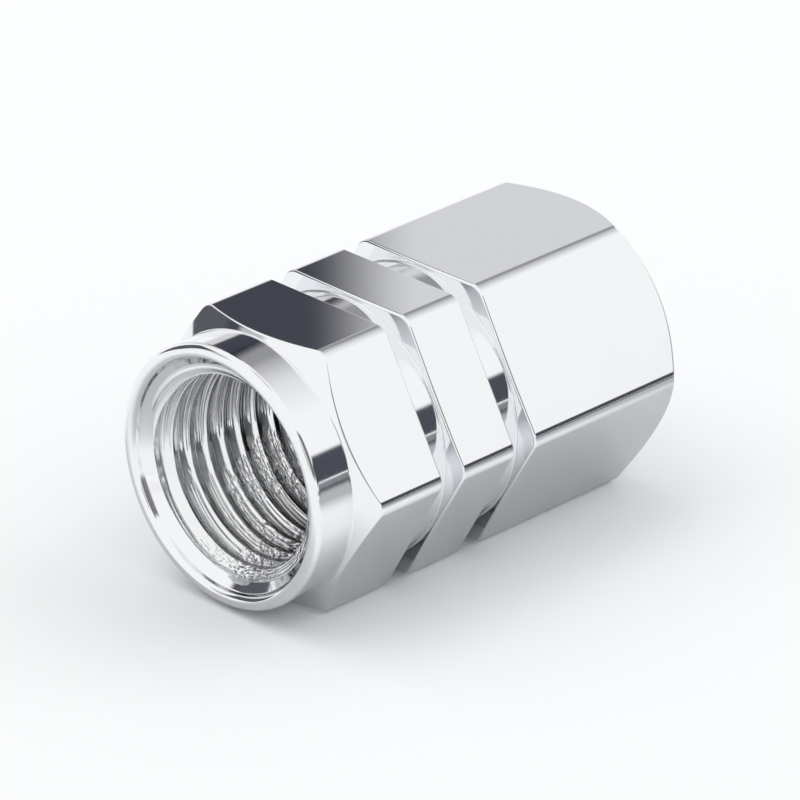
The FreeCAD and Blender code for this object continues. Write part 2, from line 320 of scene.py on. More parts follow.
# The tree that turns a profile round the axis. A point of the profile may follow the hexagon of the bar: as
# the bar's radius grows from the middle of a flat to a corner, the point moves outwards and along the axis.
# Position holds (station, radius, 0) at the middle of a flat, "drift" holds (slope, share of the growth, 0),
# and "turning" (normal along the axis, normal outwards, bar share). Half an index guards against rounding.
def makeTurningTree():
    tree, given = startTree("turnedFromBar", [
        ("Flat Radius", "NodeSocketFloat"), ("Corner Round", "NodeSocketFloat"), ("Columns", "NodeSocketInt"),
        ("Corner Points", "NodeSocketInt"), ("Half Length", "NodeSocketFloat"),
        ("Axis Height", "NodeSocketFloat"), ("Surface", "NodeSocketMaterial")])
    profile = given["Geometry"]
    sharpRadius = addNode(tree, "ShaderNodeMath", {"operation": "DIVIDE"},
                          {0: given["Flat Radius"], 1: math.cos(halfSide)})
    hexagon = addNode(tree, "GeometryNodeCurvePrimitiveCircle", {"mode": "RADIUS"},
                      {"Resolution": hexagonSides, "Radius": sharpRadius})
    cuts = addNode(tree, "ShaderNodeMath", {"operation": "SUBTRACT"}, {0: given["Columns"], 1: 1.0})
    divided = addNode(tree, "GeometryNodeSubdivideCurve", {}, {"Curve": hexagon, "Cuts": cuts})
    onFlat = addNode(tree, "ShaderNodeMath", {"operation": "MODULO"},
                     {0: addNode(tree, "GeometryNodeInputIndex"), 1: given["Columns"]})
    isCorner = addNode(tree, "ShaderNodeMath", {"operation": "LESS_THAN"}, {0: onFlat, 1: 0.5})
    cornerRound = addNode(tree, "ShaderNodeMath", {"operation": "MULTIPLY"},
                          {0: isCorner, 1: given["Corner Round"]})
    outline = addNode(tree, "GeometryNodeFilletCurve", {"mode": "POLY"},
                      {"Curve": divided, "Count": given["Corner Points"], "Radius": cornerRound})
    around = addNode(tree, "GeometryNodeAttributeDomainSize", {"component": "CURVE"},
                     {0: outline}).outputs["Point Count"]
    along = addNode(tree, "GeometryNodeAttributeDomainSize", {"component": "MESH"},
                    {0: profile}).outputs["Point Count"]
    columns = addNode(tree, "ShaderNodeMath", {"operation": "ADD"}, {0: around, 1: 1.0})
    grid = addNode(tree, "GeometryNodeMeshGrid", {}, {"Vertices X": columns, "Vertices Y": along})
    index = addNode(tree, "GeometryNodeInputIndex")
    shiftedIndex = addNode(tree, "ShaderNodeMath", {"operation": "ADD"}, {0: index, 1: 0.5})
    columnPlace = addNode(tree, "ShaderNodeMath", {"operation": "DIVIDE"}, {0: shiftedIndex, 1: along})
    column = addNode(tree, "ShaderNodeMath", {"operation": "FLOOR"}, {0: columnPlace})
    rowStart = addNode(tree, "ShaderNodeMath", {"operation": "MULTIPLY"}, {0: column, 1: along})
    row = addNode(tree, "ShaderNodeMath", {"operation": "SUBTRACT"}, {0: index, 1: rowStart})
    wrapped = addNode(tree, "ShaderNodeMath", {"operation": "MODULO"}, {0: column, 1: around})
    position = addNode(tree, "GeometryNodeInputPosition")
    barPoint = addNode(tree, "GeometryNodeSampleIndex", {"data_type": "FLOAT_VECTOR"},
                       {"Geometry": outline, "Value": position, "Index": wrapped})
    reach = addNode(tree, "ShaderNodeVectorMath", {"operation": "LENGTH"}, {0: barPoint}).outputs["Value"]
    growth = addNode(tree, "ShaderNodeMath", {"operation": "SUBTRACT"}, {0: reach, 1: given["Flat Radius"]})
    profilePoint = addNode(tree, "GeometryNodeSampleIndex", {"data_type": "FLOAT_VECTOR"},
                           {"Geometry": profile, "Value": position, "Index": row})
    driftName = addNode(tree, "GeometryNodeInputNamedAttribute", {"data_type": "FLOAT_VECTOR"},
                        {"Name": "drift"})
    drift = addNode(tree, "GeometryNodeSampleIndex", {"data_type": "FLOAT_VECTOR"},
                    {"Geometry": profile, "Value": driftName, "Index": row})
    turningName = addNode(tree, "GeometryNodeInputNamedAttribute", {"data_type": "FLOAT_VECTOR"},
                          {"Name": "turning"})
    turning = addNode(tree, "GeometryNodeSampleIndex", {"data_type": "FLOAT_VECTOR"},
                      {"Geometry": profile, "Value": turningName, "Index": row})
    moved = addNode(tree, "ShaderNodeVectorMath", {"operation": "SCALE"}, {0: drift, "Scale": growth})
    sketched = addNode(tree, "ShaderNodeVectorMath", {"operation": "ADD"}, {0: profilePoint, 1: moved})
    stationAndRadius = addNode(tree, "ShaderNodeSeparateXYZ", {}, {0: sketched}).outputs
    outFromAxis = addNode(tree, "ShaderNodeVectorMath", {"operation": "NORMALIZE"}, {0: barPoint})
    spoke = addNode(tree, "ShaderNodeVectorMath", {"operation": "SCALE"},
                    {0: outFromAxis, "Scale": stationAndRadius["Y"]})
    spokeParts = addNode(tree, "ShaderNodeSeparateXYZ", {}, {0: spoke}).outputs
    placeAlong = addNode(tree, "ShaderNodeMath", {"operation": "SUBTRACT"},
                         {0: stationAndRadius["X"], 1: given["Half Length"]})
    placeUp = addNode(tree, "ShaderNodeMath", {"operation": "ADD"},
                      {0: spokeParts["Y"], 1: given["Axis Height"]})
    place = addNode(tree, "ShaderNodeCombineXYZ", {}, {"X": spokeParts["X"], "Y": placeAlong, "Z": placeUp})
    marked = addNode(tree, "GeometryNodeStoreNamedAttribute",
                     {"data_type": "FLOAT_VECTOR", "domain": "POINT"},
                     {"Geometry": grid, "Name": "turning", "Value": turning})
    shaped = addNode(tree, "GeometryNodeSetPosition", {}, {"Geometry": marked, "Position": place})
    closed = addNode(tree, "GeometryNodeMergeByDistance", {}, {"Geometry": shaped, "Distance": seamGap * mm})
    outwards = addNode(tree, "GeometryNodeFlipFaces", {}, {"Mesh": closed})
    smooth = addNode(tree, "GeometryNodeSetShadeSmooth", {}, {"Geometry": outwards})
    realized = addNode(tree, "GeometryNodeRealizeInstances", {}, {"Geometry": smooth})
    finished = addNode(tree, "GeometryNodeSetMaterial", {},
                       {"Geometry": realized, "Material": given["Surface"]})
    addNode(tree, "NodeGroupOutput", {}, {"Geometry": finished})
    return tree


# A corner of a profile: its station and radius at the middle of a flat, the round on it, the slope that it
# follows on the bar, and whether the stretch after it is a flat of the bar.
def corner(station, radius, rounding, slope=0.0, follows=False, flatAfter=False):
    return {"place": np.array([station, radius]), "rounding": rounding, "slope": slope,
            "follows": float(follows), "flatAfter": float(flatAfter)}


# Left-hand normal of the stretch between two places
def stretchNormal(start, end):
    along = (end - start) / np.linalg.norm(end - start)
    return np.array([-along[1], along[0]])


# Profile points with rounded corners: rows of (station, radius, slope, follows, normal, bar share)
def roundProfile(corners, closed):
    rows = []
    count = len(corners)
    for i, here in enumerate(corners):
        before = corners[i - 1]
        after = corners[(i + 1) % count]
        isEnd = not closed and i in (0, count - 1)
        normalIn = stretchNormal(before["place"], here["place"]) if closed or i > 0 else None
        normalOut = stretchNormal(here["place"], after["place"]) if closed or i < count - 1 else None
        if isEnd:
            normal = normalOut if normalIn is None else normalIn
            rows.append((*here["place"], here["slope"], here["follows"], *normal, 0.0))
            continue
        turn = math.acos(np.clip(np.dot(normalIn, normalOut), -1, 1))
        bulges = normalIn[0] * normalOut[1] - normalIn[1] * normalOut[0] < 0
        side = 1.0 if bulges else -1.0
        middle = (normalIn + normalOut) / np.linalg.norm(normalIn + normalOut)
        centre = here["place"] - side * middle * here["rounding"] / math.cos(turn / 2)
        for step in range(barLook["arcSteps"] + 1):
            share = step / barLook["arcSteps"]
            normal = normalIn * math.sin((1 - share) * turn) + normalOut * math.sin(share * turn)
            normal = normal / math.sin(turn)
            place = centre + side * here["rounding"] * normal
            barShare = before["flatAfter"] * (1 - share) + here["flatAfter"] * share
            rows.append((*place, here["slope"], here["follows"], *normal, barShare))
    return rows


def addProfile(name, rows, closed):
    mesh = bpy.data.meshes.new(name)
    rows = list(rows) + (rows[:1] if closed else [])
    mesh.from_pydata([(row[0] * mm, row[1] * mm, 0.0) for row in rows],
                     [(i, i + 1) for i in range(len(rows) - 1)], [])
    drift = mesh.attributes.new("drift", "FLOAT_VECTOR", "POINT")
    drift.data.foreach_set("vector", [n for row in rows for n in (row[2], row[3], 0.0)])
    turning = mesh.attributes.new("turning", "FLOAT_VECTOR", "POINT")
    turning.data.foreach_set("vector", [n for row in rows for n in (row[4], row[5], row[6])])
    return addPiece(name, mesh)


# Exact normals, so that the flats stay flat and the turned faces round in the polish. A point further in than
# the middles of the corners' rounds, as in the bore, has no share of the bar, and only needs a sound number.
def setTurnedNormals(mesh):
    leastReach = 1e-9                 # keeps a pole, which lies on the axis, from dividing by zero
    count = len(mesh.vertices)
    place = np.empty(count * 3)
    mesh.vertices.foreach_get("co", place)
    turning = np.empty(count * 3)
    mesh.attributes["turning"].data.foreach_get("vector", turning)
    x, z = place[0::3], place[2::3] - axisHeight
    alongNormal, radialNormal, barShare = turning[0::3], turning[1::3], turning[2::3]
    reach = np.maximum(np.hypot(x, z), leastReach)
    flatAngle = np.floor(np.arctan2(z, x) / (2 * halfSide)) * 2 * halfSide + halfSide
    across = x * np.cos(flatAngle) + z * np.sin(flatAngle)
    sideways = z * np.cos(flatAngle) - x * np.sin(flatAngle)
    cornerRound = barLook["cornerRound"] * mm
    inner = flatRadius - cornerRound
    overhang = sideways - np.clip(sideways, -inner * math.tan(halfSide), inner * math.tan(halfSide))
    rise = np.maximum(across - inner, cornerRound / 2)
    length = np.hypot(rise, overhang)
    barX = (rise * np.cos(flatAngle) - overhang * np.sin(flatAngle)) / length
    barZ = (rise * np.sin(flatAngle) + overhang * np.cos(flatAngle)) / length
    outX = barX * barShare + x / reach * (1 - barShare)
    outZ = barZ * barShare + z / reach * (1 - barShare)
    normals = np.stack([outX * radialNormal, alongNormal, outZ * radialNormal], axis=1)
    normals /= np.linalg.norm(normals, axis=1)[:, None]
    mesh.normals_split_custom_set_from_vertices(normals)


# The cap's body. The stations start at the mouth face. threadHeight is the step from the bore to the seat.
capSizes = {
    "threadDiameter": 7.86, "threadDepth": 9.0, "threadHeight": 0.48, "countersink": 0.33,
    "collarWall": 0.92, "collarLength": 1.7, "mouthChamferAngle": 33.0,
    "rimFlat": 0.05, "rimWall": 0.03, "rimLean": 20.0, "rimFoot": 0.15,
    "firstSection": 2.86, "middleSection": 2.48, "endSection": 6.95,
    "grooveWidth": 1.04, "grooveDepth": 0.17, "grooveWallAngle": 3.0,
    "endChamferAngle": 44.7, "crownMargin": 0.1, "crownHeight": 0.031, "crownRound": 0.1,
    "washerRecess": 0.1, "washerThickness": 1.5, "washerHole": 3.0, "washerClearance": 0.05,
    "grooveCount": 2, "edgeBreak": 0.06, "mouthEdgeBreak": 0.12, "grooveEdgeBreak": 0.1,
    "endEdgeBreak": 0.12, "rootRound": 0.06, "crownSteps": 6,
}


def capProfile(sizes):
    boreRadius = sizes["threadDiameter"] / 2
    coreRadius = boreRadius - sizes["threadHeight"]
    collarRadius = boreRadius + sizes["collarWall"]
    flat = flatRadius / mm
    sharp = flat / math.cos(halfSide)
    seatDepth = sizes["threadDepth"] + sizes["washerRecess"] + sizes["washerThickness"]
    mouthSlope = math.tan(math.radians(sizes["mouthChamferAngle"]))
    wallSlope = math.tan(math.radians(sizes["grooveWallAngle"]))
    endSlope = math.tan(math.radians(sizes["endChamferAngle"]))
    edge, root = sizes["edgeBreak"], sizes["rootRound"]
    rimBore = boreRadius + sizes["countersink"]
    rimRound = (collarRadius - rimBore - sizes["rimFlat"]) / 2
    countersinkStart = rimRound + sizes["rimWall"]
    corners = [
        corner(seatDepth, 0.0, 0.0),
        corner(seatDepth, coreRadius, root),
        corner(sizes["threadDepth"], coreRadius, edge),
        corner(sizes["threadDepth"], boreRadius, root),
        corner(countersinkStart + sizes["countersink"], boreRadius, edge),
        corner(countersinkStart, rimBore, sizes["rimFoot"]),
        corner(0.0, rimBore + countersinkStart * math.tan(math.radians(sizes["rimLean"])), rimRound),
        corner(0.0, collarRadius, rimRound),
        corner(sizes["collarLength"], collarRadius, root),
        corner(sizes["collarLength"] + (flat - collarRadius) * mouthSlope, flat, sizes["mouthEdgeBreak"],
               mouthSlope, True, True),
    ]
    grooveRadius = flat - sizes["grooveDepth"]
    grooveStart = sizes["collarLength"] + (sharp - collarRadius) * mouthSlope + sizes["firstSection"]
    for groove in range(sizes["grooveCount"]):
        wallFoot = grooveStart + sizes["grooveWidth"] - (sharp - grooveRadius) * wallSlope
        corners += [
            corner(grooveStart, flat, edge, 0.0, True),
            corner(grooveStart, grooveRadius, root),
            corner(wallFoot, grooveRadius, root),
            corner(wallFoot + (flat - grooveRadius) * wallSlope, flat, sizes["grooveEdgeBreak"],
                   wallSlope, True, True),
        ]
        grooveStart += sizes["grooveWidth"] + sizes["middleSection"]
    hexagonEnd = grooveStart - sizes["middleSection"] + sizes["endSection"]
    crownRadius = flat - sizes["crownMargin"]
    crownStart = hexagonEnd + (sharp - crownRadius) * endSlope
    corners += [
        corner(hexagonEnd + (sharp - flat) * endSlope, flat, sizes["endEdgeBreak"], -endSlope, True),
        corner(crownStart, crownRadius, sizes["crownRound"]),
        corner(crownStart + sizes["crownHeight"], 0.0, 0.0),
    ]
    rows = roundProfile(corners, False)
    crownRows = []                    # rings of a low bulge, which take the place of the last row
    innerRadius = rows[-2][1]
    for step in range(1, sizes["crownSteps"]):
        radius = innerRadius * (1 - step / sizes["crownSteps"])
        station = crownStart + sizes["crownHeight"] * (1 - (radius / crownRadius) ** 2)
        lean = 2 * sizes["crownHeight"] * radius / crownRadius ** 2
        normal = np.array([1.0, lean]) / math.hypot(1.0, lean)
        crownRows.append((station, radius, 0.0, 0.0, *normal, 0.0))
    tip = (crownStart + sizes["crownHeight"], 0.0, 0.0, 0.0, 1.0, 0.0, 0.0)
    return rows[:-1] + crownRows + [tip]


def makeCapBody(tree, metal):
    piece = addProfile("capBody", capProfile(capSizes), False)
    runTree(piece, tree, {
        "Flat Radius": flatRadius, "Corner Round": barLook["cornerRound"] * mm, "Columns": barLook["columns"],
        "Corner Points": barLook["cornerPoints"], "Half Length": halfLength, "Axis Height": axisHeight,
        "Surface": metal})
    setTurnedNormals(piece.data)
    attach(piece, "root")
    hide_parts("cap_body")
    print("cap body:", len(piece.data.polygons), "faces")


# The washer's own values: the round on its edges, and how finely a sixth of it is divided
washerEdge = {"rounding": 0.12, "columns": 12, "cornerPoints": 1}


def makeWasher(tree, rubber):
    start = capSizes["threadDepth"] + capSizes["washerRecess"]
    end = start + capSizes["washerThickness"]
    hole = capSizes["washerHole"] / 2
    rim = capSizes["threadDiameter"] / 2 - capSizes["threadHeight"] - capSizes["washerClearance"]
    edge = washerEdge["rounding"]
    corners = [corner(station, radius, edge)
               for station, radius in ((start, hole), (start, rim), (end, rim), (end, hole))]
    piece = addProfile("sealingWasher", roundProfile(corners, True), True)
    runTree(piece, tree, {
        "Flat Radius": flatRadius, "Corner Round": barLook["cornerRound"] * mm,
        "Columns": washerEdge["columns"], "Corner Points": washerEdge["cornerPoints"],
        "Half Length": halfLength, "Axis Height": axisHeight, "Surface": rubber})
    setTurnedNormals(piece.data)
    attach(piece, "root")
    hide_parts("sealing_washer")
    print("sealing washer:", len(piece.data.polygons), "faces")


# The internal thread: one right-hand ridge along a helix on the wall of the bore, sunk a little into it. The
# countersink's cone trims the first turn, which lies behindCone in the metal there and gains height by
# startSlope past the cone's end. What would start before lowestStation is moved there and buried in the wall.
# The ridge dies out over the runout, a share of its length, to runoutEnd, a share of its size. Edges that
# turn by more than sharpAngle stay sharp, so that the flanks mirror as flat ones do.
threadSizes = {
    "pitch": 0.794, "height": 0.38, "rootWidth": 0.79, "crestWidth": 0.22, "crestRound": 0.05,
    "crestPoints": 3, "pointsPerTurn": 96, "firstStation": 0.12, "lastStation": 8.6, "sunk": 0.04,
    "behindCone": 0.005, "lowestStation": 0.34, "buriedSlope": 0.3, "startSlope": 3.0,
    "runout": 0.06, "runoutEnd": 0.02, "sharpAngle": 8.0,
}


def makeThreadTree():
    tree, given = startTree("threadRidge", [
        ("Wall Radius", "NodeSocketFloat"), ("Pitch", "NodeSocketFloat"), ("Turns", "NodeSocketFloat"),
        ("Height", "NodeSocketFloat"), ("Sunk", "NodeSocketFloat"), ("Root Width", "NodeSocketFloat"),
        ("Crest Width", "NodeSocketFloat"), ("Crest Round", "NodeSocketFloat"),
        ("Crest Points", "NodeSocketInt"), ("Points Per Turn", "NodeSocketInt"),
        ("First Station", "NodeSocketFloat"), ("Lowest Station", "NodeSocketFloat"),
        ("Buried Slope", "NodeSocketFloat"), ("Mouth Radius", "NodeSocketFloat"),
        ("Cone End", "NodeSocketFloat"), ("Start Slope", "NodeSocketFloat"), ("Runout", "NodeSocketFloat"),
        ("Runout End", "NodeSocketFloat"), ("Sharp Angle", "NodeSocketFloat"),
        ("Half Length", "NodeSocketFloat"), ("Axis Height", "NodeSocketFloat"),
        ("Surface", "NodeSocketMaterial")])
    rise = addNode(tree, "ShaderNodeMath", {"operation": "MULTIPLY"}, {0: given["Pitch"], 1: given["Turns"]})
    path = addNode(tree, "GeometryNodeCurveSpiral", {},
                   {"Resolution": given["Points Per Turn"], "Rotations": given["Turns"],
                    "Start Radius": given["Wall Radius"], "End Radius": given["Wall Radius"], "Height": rise})
    upright = addNode(tree, "GeometryNodeSetCurveNormal", {"mode": "Z_UP"}, {"Curve": path})
    placeOnCurve = addNode(tree, "GeometryNodeSplineParameter").outputs
    measured = addNode(tree, "GeometryNodeStoreNamedAttribute", {"data_type": "FLOAT", "domain": "POINT"},
                       {"Geometry": upright, "Name": "helixPlace", "Value": placeOnCurve["Length"]})
    fullHeight = addNode(tree, "ShaderNodeMath", {"operation": "ADD"}, {0: given["Height"], 1: given["Sunk"]})
    section = addNode(tree, "GeometryNodeCurvePrimitiveQuadrilateral", {"mode": "TRAPEZOID"},
                      {"Height": fullHeight, "Bottom Width": given["Root Width"],
                       "Top Width": given["Crest Width"], "Offset": 0.0})
    rounded = addNode(tree, "GeometryNodeFilletCurve", {"mode": "POLY"},
                      {"Curve": section, "Count": given["Crest Points"], "Radius": given["Crest Round"],
                       "Limit Radius": True})
    halfHeight = addNode(tree, "ShaderNodeMath", {"operation": "DIVIDE"}, {0: fullHeight, 1: 2.0})
    seat = addNode(tree, "ShaderNodeMath", {"operation": "SUBTRACT"}, {0: halfHeight, 1: given["Sunk"]})
    seatPlace = addNode(tree, "ShaderNodeCombineXYZ", {}, {"Y": seat})
    acrossMeasured = addNode(tree, "GeometryNodeStoreNamedAttribute",
                             {"data_type": "FLOAT", "domain": "POINT"},
                             {"Geometry": rounded, "Name": "flankPlace", "Value": placeOnCurve["Length"]})
    seated = addNode(tree, "GeometryNodeTransform", {},
                     {"Geometry": acrossMeasured, "Translation": seatPlace})
    inwards = addNode(tree, "GeometryNodeTransform", {},
                      {"Geometry": seated, "Rotation": (0.0, 0.0, -math.pi / 2)})
    tail = addNode(tree, "ShaderNodeMath", {"operation": "SUBTRACT"}, {0: 1.0, 1: given["Runout"]})
    fade = addNode(tree, "ShaderNodeMapRange", {"interpolation_type": "SMOOTHSTEP"},
                   {"Value": placeOnCurve["Factor"], "From Min": tail, "From Max": 1.0,
                    "To Min": 1.0, "To Max": given["Runout End"]})
    ridge = addNode(tree, "GeometryNodeCurveToMesh", {},
                    {"Curve": measured, "Profile Curve": inwards, "Scale": fade, "Fill Caps": True})
    position = addNode(tree, "GeometryNodeInputPosition")
    parts = addNode(tree, "ShaderNodeSeparateXYZ", {}, {0: position}).outputs
    station = addNode(tree, "ShaderNodeMath", {"operation": "ADD"},
                      {0: parts["Z"], 1: given["First Station"]})
    inStation = addNode(tree, "ShaderNodeMath", {"operation": "MAXIMUM"},
                        {0: station, 1: given["Lowest Station"]})
    spoke = addNode(tree, "ShaderNodeCombineXYZ", {}, {"X": parts["X"], "Y": parts["Y"]})
    radius = addNode(tree, "ShaderNodeVectorMath", {"operation": "LENGTH"}, {0: spoke}).outputs["Value"]
    coneRadius = addNode(tree, "ShaderNodeMath", {"operation": "SUBTRACT"},
                         {0: given["Mouth Radius"], 1: inStation})
    pastCone = addNode(tree, "ShaderNodeMath", {"operation": "SUBTRACT"},
                       {0: given["Cone End"], 1: inStation})
    notBefore = addNode(tree, "ShaderNodeMath", {"operation": "MINIMUM"}, {0: pastCone, 1: 0.0})
    startRadius = addNode(tree, "ShaderNodeMath", {"operation": "MULTIPLY_ADD"},
                          {0: notBefore, 1: given["Start Slope"], 2: coneRadius})
    raised = addNode(tree, "ShaderNodeMath", {"operation": "SUBTRACT"}, {0: inStation, 1: station})
    buried = addNode(tree, "ShaderNodeMath", {"operation": "MULTIPLY_ADD"},
                     {0: raised, 1: given["Buried Slope"], 2: startRadius})
    cutRadius = addNode(tree, "ShaderNodeMath", {"operation": "MAXIMUM"}, {0: radius, 1: buried})
    outFromAxis = addNode(tree, "ShaderNodeVectorMath", {"operation": "NORMALIZE"}, {0: spoke})
    cutSpoke = addNode(tree, "ShaderNodeVectorMath", {"operation": "SCALE"},
                       {0: outFromAxis, "Scale": cutRadius})
    cutParts = addNode(tree, "ShaderNodeSeparateXYZ", {}, {0: cutSpoke}).outputs
    placeAlong = addNode(tree, "ShaderNodeMath", {"operation": "SUBTRACT"},
                         {0: inStation, 1: given["Half Length"]})
    placeUp = addNode(tree, "ShaderNodeMath", {"operation": "ADD"},
                      {0: cutParts["Y"], 1: given["Axis Height"]})
    place = addNode(tree, "ShaderNodeCombineXYZ", {}, {"X": cutParts["X"], "Y": placeAlong, "Z": placeUp})
    laidDown = addNode(tree, "GeometryNodeSetPosition", {}, {"Geometry": ridge, "Position": place})
    outwards = addNode(tree, "GeometryNodeFlipFaces", {}, {"Mesh": laidDown})
    smooth = addNode(tree, "GeometryNodeSetShadeSmooth", {}, {"Geometry": outwards})
    edgeAngle = addNode(tree, "GeometryNodeInputMeshEdgeAngle").outputs["Unsigned Angle"]
    gentle = addNode(tree, "ShaderNodeMath", {"operation": "LESS_THAN"},
                     {0: edgeAngle, 1: given["Sharp Angle"]})
    creased = addNode(tree, "GeometryNodeSetShadeSmooth", {"domain": "EDGE"},
                      {"Geometry": smooth, "Shade Smooth": gentle})
    realized = addNode(tree, "GeometryNodeRealizeInstances", {}, {"Geometry": creased})
    finished = addNode(tree, "GeometryNodeSetMaterial", {},
                       {"Geometry": realized, "Material": given["Surface"]})
    addNode(tree, "NodeGroupOutput", {}, {"Geometry": finished})
    return tree


def makeThread(metal):
    sizes = threadSizes
    piece = addPiece("internalThread", bpy.data.meshes.new("internalThread"))
    rimRound = (capSizes["collarWall"] - capSizes["countersink"] - capSizes["rimFlat"]) / 2
    coneEnd = rimRound + capSizes["rimWall"] + capSizes["countersink"]
    mouthRadius = capSizes["threadDiameter"] / 2 + coneEnd + sizes["behindCone"]
    runTree(piece, makeThreadTree(), {
        "Wall Radius": capSizes["threadDiameter"] / 2 * mm, "Pitch": sizes["pitch"] * mm,
        "Turns": (sizes["lastStation"] - sizes["firstStation"]) / sizes["pitch"],
        "Height": sizes["height"] * mm, "Sunk": sizes["sunk"] * mm, "Root Width": sizes["rootWidth"] * mm,
        "Crest Width": sizes["crestWidth"] * mm, "Crest Round": sizes["crestRound"] * mm,
        "Crest Points": sizes["crestPoints"], "Points Per Turn": sizes["pointsPerTurn"],
        "First Station": sizes["firstStation"] * mm, "Lowest Station": sizes["lowestStation"] * mm,
        "Buried Slope": sizes["buriedSlope"], "Mouth Radius": mouthRadius * mm, "Cone End": coneEnd * mm,
        "Start Slope": sizes["startSlope"], "Runout": sizes["runout"], "Runout End": sizes["runoutEnd"],
        "Sharp Angle": math.radians(sizes["sharpAngle"]), "Half Length": halfLength,
        "Axis Height": axisHeight, "Surface": metal})
    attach(piece, "root")
    print("internal thread:", len(piece.data.polygons), "faces")


# Pale table and white surroundings. The flags and cards are dark cloths that only reflections show. The two
# cards that lie on the table round the cap are painted shade: they darken the table where the cap shades it,
# in reflections only.
studio = {
    "floorColour": "#F6F7F8",
    "floorRoughness": 0.9,
    "floorSpecular": 0.1,
    "floorSize": 3.0,
    "clothColour": "#10142E",
    "ambient": 0.8,
    "flagDistance": 500.0,
}

# Far flags, by direction: azimuth from +X towards +Y, elevation, then width and height as seen from the cap
flags = {
    "flagBackLeft": {"azimuth": 137, "elevation": 30, "width": 60, "height": 46, "darkness": 0.3,
                     "soft": (0.15, 0.15, 0.15, 0.15)},
    "flagAbove": {"azimuth": 97, "elevation": 46, "width": 68, "height": 22, "darkness": 0.55,
                  "soft": (0.1, 0.75, 0.3, 0.3)},
    "flagLeft": {"azimuth": 201, "elevation": 17, "width": 33, "height": 40, "darkness": 0.9,
                 "soft": (0.1, 0.1, 0.1, 0.1)},
    "flagLowRight": {"azimuth": 40, "elevation": 8.5, "width": 60, "height": 20, "darkness": 0.93,
                     "soft": (0.1, 0.1, 0.05, 0.15)},
    "flagLowFront": {"azimuth": -8, "elevation": 24, "width": 46, "height": 42, "darkness": 0.8,
                     "soft": (0.2, 0.2, 0.2, 0.15)},
    "flagFrontRight": {"azimuth": -43, "elevation": 17, "width": 26, "height": 26, "darkness": 0.4,
                       "soft": (0.3, 0.3, 0.3, 0.3)},
    "flagBackSide": {"azimuth": 220, "elevation": 25, "width": 26, "height": 24, "darkness": 0.45,
                     "soft": (0.2, 0.2, 0.2, 0.2)},
    "flagOverhead": {"azimuth": 90, "elevation": 86, "width": 30, "height": 30, "darkness": 0.3,
                     "soft": (0.3, 0.3, 0.3, 0.3)},
}

# Near cards, by place in millimetres: the middle, the direction that the cloth faces, width and height.
# Soft edges are shares of the size, at the left, right, bottom and top as seen from the cap.
cards = {
    "cardBehind": {"middle": (-26.2, 16.3, 41.5), "azimuth": -45, "elevation": 0, "width": 16, "height": 43,
                   "darkness": 0.92, "soft": (0.1, 0.3, 0.04, 0.1)},
    # painted shade: a dark sheet on the table beside the cap, where its shadow falls, darkening the flats
    # that mirror the table
    "paintedShadeOnTable": {"middle": (-4.0, 0.0, 0.15), "azimuth": -90, "elevation": 90, "width": 26, "height": 40,
                    "darkness": 0.33, "soft": (0.2, 0.2, 0.2, 0.2)},
    "cardFarTable": {"middle": (90.0, 80.0, 0.1), "azimuth": 42, "elevation": 90, "width": 160, "height": 180,
                     "darkness": 0.75, "soft": (0.2, 0.2, 0.12, 0.12)},
    # painted shade: a dark sheet on the table a little further out, where the cap shades it, seen only in
    # reflections
    "paintedShadeNearTable": {"middle": (29.0, 26.0, 0.2), "azimuth": 42, "elevation": 90, "width": 80, "height": 60,
                      "darkness": 0.5, "soft": (0.2, 0.2, 0.2, 0.2)},
}


# Dark cloth that fades out at its left, right, bottom and top edges
def makeFlagCloth(name, darkness, soft):
    material, tree = startMaterial(name)
    place = addNode(tree, "ShaderNodeSeparateXYZ", {}, {0: addNode(tree, "ShaderNodeTexCoord").outputs["UV"]})
    cover = darkness
    for side, share in enumerate(soft):
        reach = place.outputs["XXYY"[side]]
        if side % 2:
            reach = addNode(tree, "ShaderNodeMath", {"operation": "SUBTRACT"}, {0: 1.0, 1: reach})
        faded = addNode(tree, "ShaderNodeMapRange", {"interpolation_type": "SMOOTHSTEP"},
                        {"Value": reach, "From Min": 0.0, "From Max": share})
        cover = addNode(tree, "ShaderNodeMath", {"operation": "MULTIPLY"}, {0: faded, 1: cover})
    dark = addNode(tree, "ShaderNodeBsdfDiffuse", {}, {"Color": linearColour(studio["clothColour"])})
    clear = addNode(tree, "ShaderNodeBsdfTransparent")
    mixed = addNode(tree, "ShaderNodeMixShader", {}, {0: cover, 1: clear, 2: dark})
    addNode(tree, "ShaderNodeOutputMaterial", {}, {"Surface": mixed})
    return material


def direction(azimuth, elevation):
    a, e = math.radians(azimuth), math.radians(elevation)
    return Vector((math.cos(a) * math.cos(e), math.sin(a) * math.cos(e), math.sin(e)))


# A cloth round its middle. Its right-hand side is the right as seen by the cap, which it faces.
def addCloth(name, middle, facing, width, height, darkness, soft):
    right = Vector((math.sin(math.radians(facing[0])), -math.cos(math.radians(facing[0])), 0.0)) * -width / 2
    up = direction(*facing).cross(right).normalized() * height / 2
    shape = bmesh.new()
    uv = shape.loops.layers.uv.new("UVMap")
    sides = [(-1, -1), (1, -1), (1, 1), (-1, 1)]
    face = shape.faces.new([shape.verts.new((middle + right * i + up * j) * mm) for i, j in sides])
    for loop, (i, j) in zip(face.loops, sides):
        loop[uv].uv = ((i + 1) / 2, (j + 1) / 2)
    mesh = bpy.data.meshes.new(name)
    shape.to_mesh(mesh)
    shape.free()
    mesh.materials.append(makeFlagCloth(name, darkness, soft))
    cloth = addPiece(name, mesh)
    cloth.visible_camera = False
    cloth.visible_diffuse = False
    cloth.visible_shadow = False


